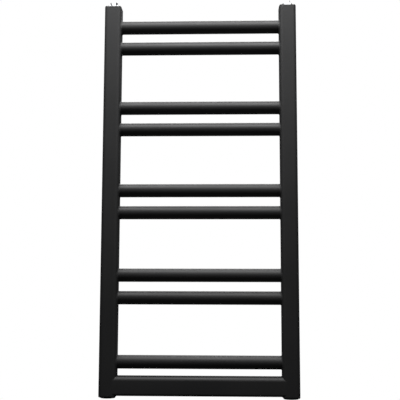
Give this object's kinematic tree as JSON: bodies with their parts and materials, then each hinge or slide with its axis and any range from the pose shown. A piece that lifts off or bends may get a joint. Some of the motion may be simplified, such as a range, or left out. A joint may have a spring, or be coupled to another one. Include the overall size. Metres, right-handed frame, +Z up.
{
  "type": "towel warmer rack",
  "caption": "Wall-hung ladder towel warmer in satin black: round-edged rails, paired round cross bars, a flush lower tube, a top plug, an air vent and tubular wall brackets.",
  "frame": {"origin": "centre of the four wall-screw holes, on the wall plane", "axes": "+X to the right as seen from the room, +Y into the wall, +Z up"},
  "size_m": [0.4, 0.076, 0.8235],
  "materials": {
    "black_steel": "satin black powder coat on steel",
    "chrome_plate": "polished chrome plate on brass",
    "zinc_steel": "bright zinc plate",
    "rubber_seal": "moulded rubber"
  },
  "bodies": {
    "rack": {"left_rail": "black_steel", "right_rail": "black_steel", "lower_tube": "black_steel", "bar_1": "black_steel", "bar_2": "black_steel", "bar_3": "black_steel", "bar_4": "black_steel", "bar_5": "black_steel", "bar_6": "black_steel", "bar_7": "black_steel", "bar_8": "black_steel", "bar_9": "black_steel", "left_top_cap": "black_steel", "right_top_cap": "black_steel", "left_foot_cap": "black_steel", "right_foot_cap": "black_steel", "left_top_socket": "black_steel", "right_top_socket": "black_steel", "left_foot_socket": "black_steel", "right_foot_socket": "black_steel", "plug_washer": "rubber_seal", "blanking_plug": "chrome_plate", "vent_washer": "rubber_seal", "vent_body": "chrome_plate", "upper_left_base": "zinc_steel", "upper_right_base": "zinc_steel", "lower_left_base": "zinc_steel", "lower_right_base": "zinc_steel", "upper_left_sleeve": "black_steel", "upper_right_sleeve": "black_steel", "lower_left_sleeve": "black_steel", "lower_right_sleeve": "black_steel", "upper_left_boss": "black_steel", "upper_right_boss": "black_steel", "lower_left_boss": "black_steel", "lower_right_boss": "black_steel", "rail_screws": "zinc_steel", "grub_screws": "zinc_steel"},
    "outlet": {"vent_outlet": "chrome_plate"},
    "bleed_screw": {"vent_screw": "chrome_plate", "vent_screw_ring": "rubber_seal"}
  },
  "joints": [
    {"name": "outlet_swivel", "type": "hinge", "parent": "rack", "child": "outlet", "pos_m": [0.1825, -0.058, 0.4108], "axis": [0, 0, 1], "continuous": true},
    {"name": "bleed_turn", "type": "hinge", "parent": "rack", "child": "bleed_screw", "pos_m": [0.1825, -0.058, 0.4163], "axis": [0, 0, 1], "range_deg": [0, 360]}
  ]
}
